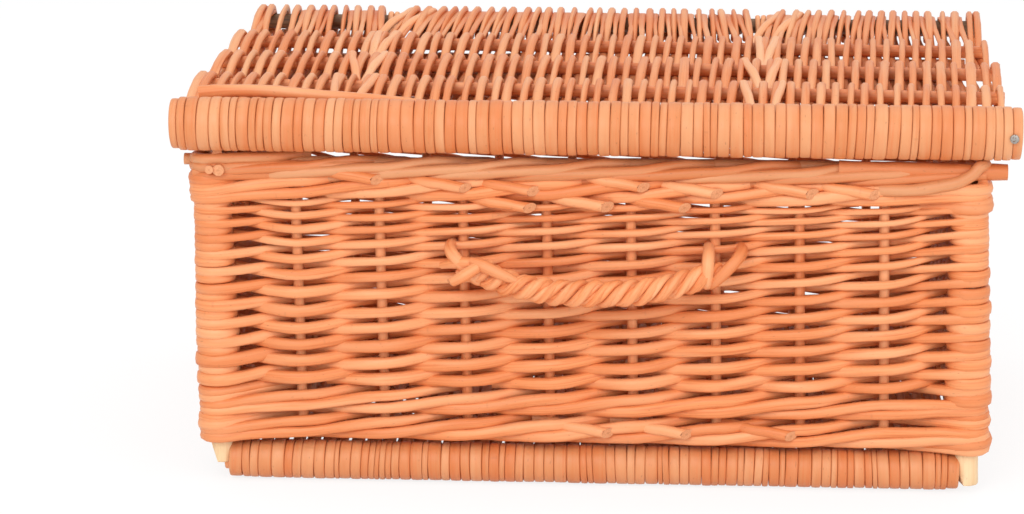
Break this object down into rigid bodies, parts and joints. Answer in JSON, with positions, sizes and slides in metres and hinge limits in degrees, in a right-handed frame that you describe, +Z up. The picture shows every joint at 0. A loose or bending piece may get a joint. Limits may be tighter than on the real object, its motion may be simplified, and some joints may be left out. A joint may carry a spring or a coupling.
{
  "type": "wicker storage basket",
  "caption": "Rectangular lidded storage basket woven from willow rods, with a hinged woven lid and a twisted rope pull handle on the front.",
  "frame": {"origin": "on the floor under the middle of the whole basket, handle included", "axes": "+X to the right along the longest side, +Y from the front with the handle to the hinged back, +Z up"},
  "size_m": [0.395, 0.2998, 0.1877],
  "materials": {
    "buff_willow": "boiled and peeled willow, satin, orange tan",
    "peeled_willow": "peeled willow, pale and matt",
    "split_willow": "split willow skein, pale and smooth",
    "bark_willow": "willow stick with its bark on, dull brown",
    "nail_steel": "plain steel nail head"
  },
  "bodies": {
    "basket": {"post_front_left": "peeled_willow", "post_front_right": "peeled_willow", "post_back_left": "peeled_willow", "post_back_right": "peeled_willow", "stake_front_1": "buff_willow", "stake_front_2": "buff_willow", "stake_front_3": "buff_willow", "stake_front_4": "buff_willow", "stake_front_5": "buff_willow", "stake_front_6": "buff_willow", "stake_front_7": "buff_willow", "stake_front_8": "buff_willow", "stake_back_1": "buff_willow", "stake_back_2": "buff_willow", "stake_back_3": "buff_willow", "stake_back_4": "buff_willow", "stake_back_5": "buff_willow", "stake_back_6": "buff_willow", "stake_back_7": "buff_willow", "stake_back_8": "buff_willow", "stake_left_1": "buff_willow", "stake_left_2": "buff_willow", "stake_left_3": "buff_willow", "stake_left_4": "buff_willow", "stake_left_5": "buff_willow", "stake_left_6": "buff_willow", "stake_right_1": "buff_willow", "stake_right_2": "buff_willow", "stake_right_3": "buff_willow", "stake_right_4": "buff_willow", "stake_right_5": "buff_willow", "stake_right_6": "buff_willow", "weave_front": "buff_willow", "weave_back": "buff_willow", "weave_left": "buff_willow", "weave_right": "buff_willow", "border_front": "buff_willow", "border_back": "buff_willow", "border_left": "buff_willow", "border_right": "buff_willow", "base_stick_front": "buff_willow", "base_stick_1": "buff_willow", "base_stick_2": "buff_willow", "base_stick_3": "buff_willow", "base_stick_back": "buff_willow", "base_weave": "buff_willow", "hinge_loop_left": "split_willow", "hinge_loop_right": "split_willow", "handle_tie_left": "split_willow", "handle_tie_right": "split_willow"},
    "lid": {"lid_stick_front": "buff_willow", "lid_stick_1": "buff_willow", "lid_stick_2": "buff_willow", "lid_stick_3": "buff_willow", "lid_stick_back": "bark_willow", "lid_weave": "buff_willow", "lid_nail": "nail_steel"},
    "handle": {"handle_rope": "buff_willow"}
  },
  "joints": [
    {"name": "lid_hinge", "type": "hinge", "parent": "basket", "child": "lid", "pos_m": [0, 0.1414, 0.1784], "axis": [-1, 0, 0], "range_deg": [0, 105]},
    {"name": "handle_swing", "type": "hinge", "parent": "basket", "child": "handle", "pos_m": [0, -0.1324, 0.10804], "axis": [-1, 0, 0], "range_deg": [0, 70]}
  ]
}
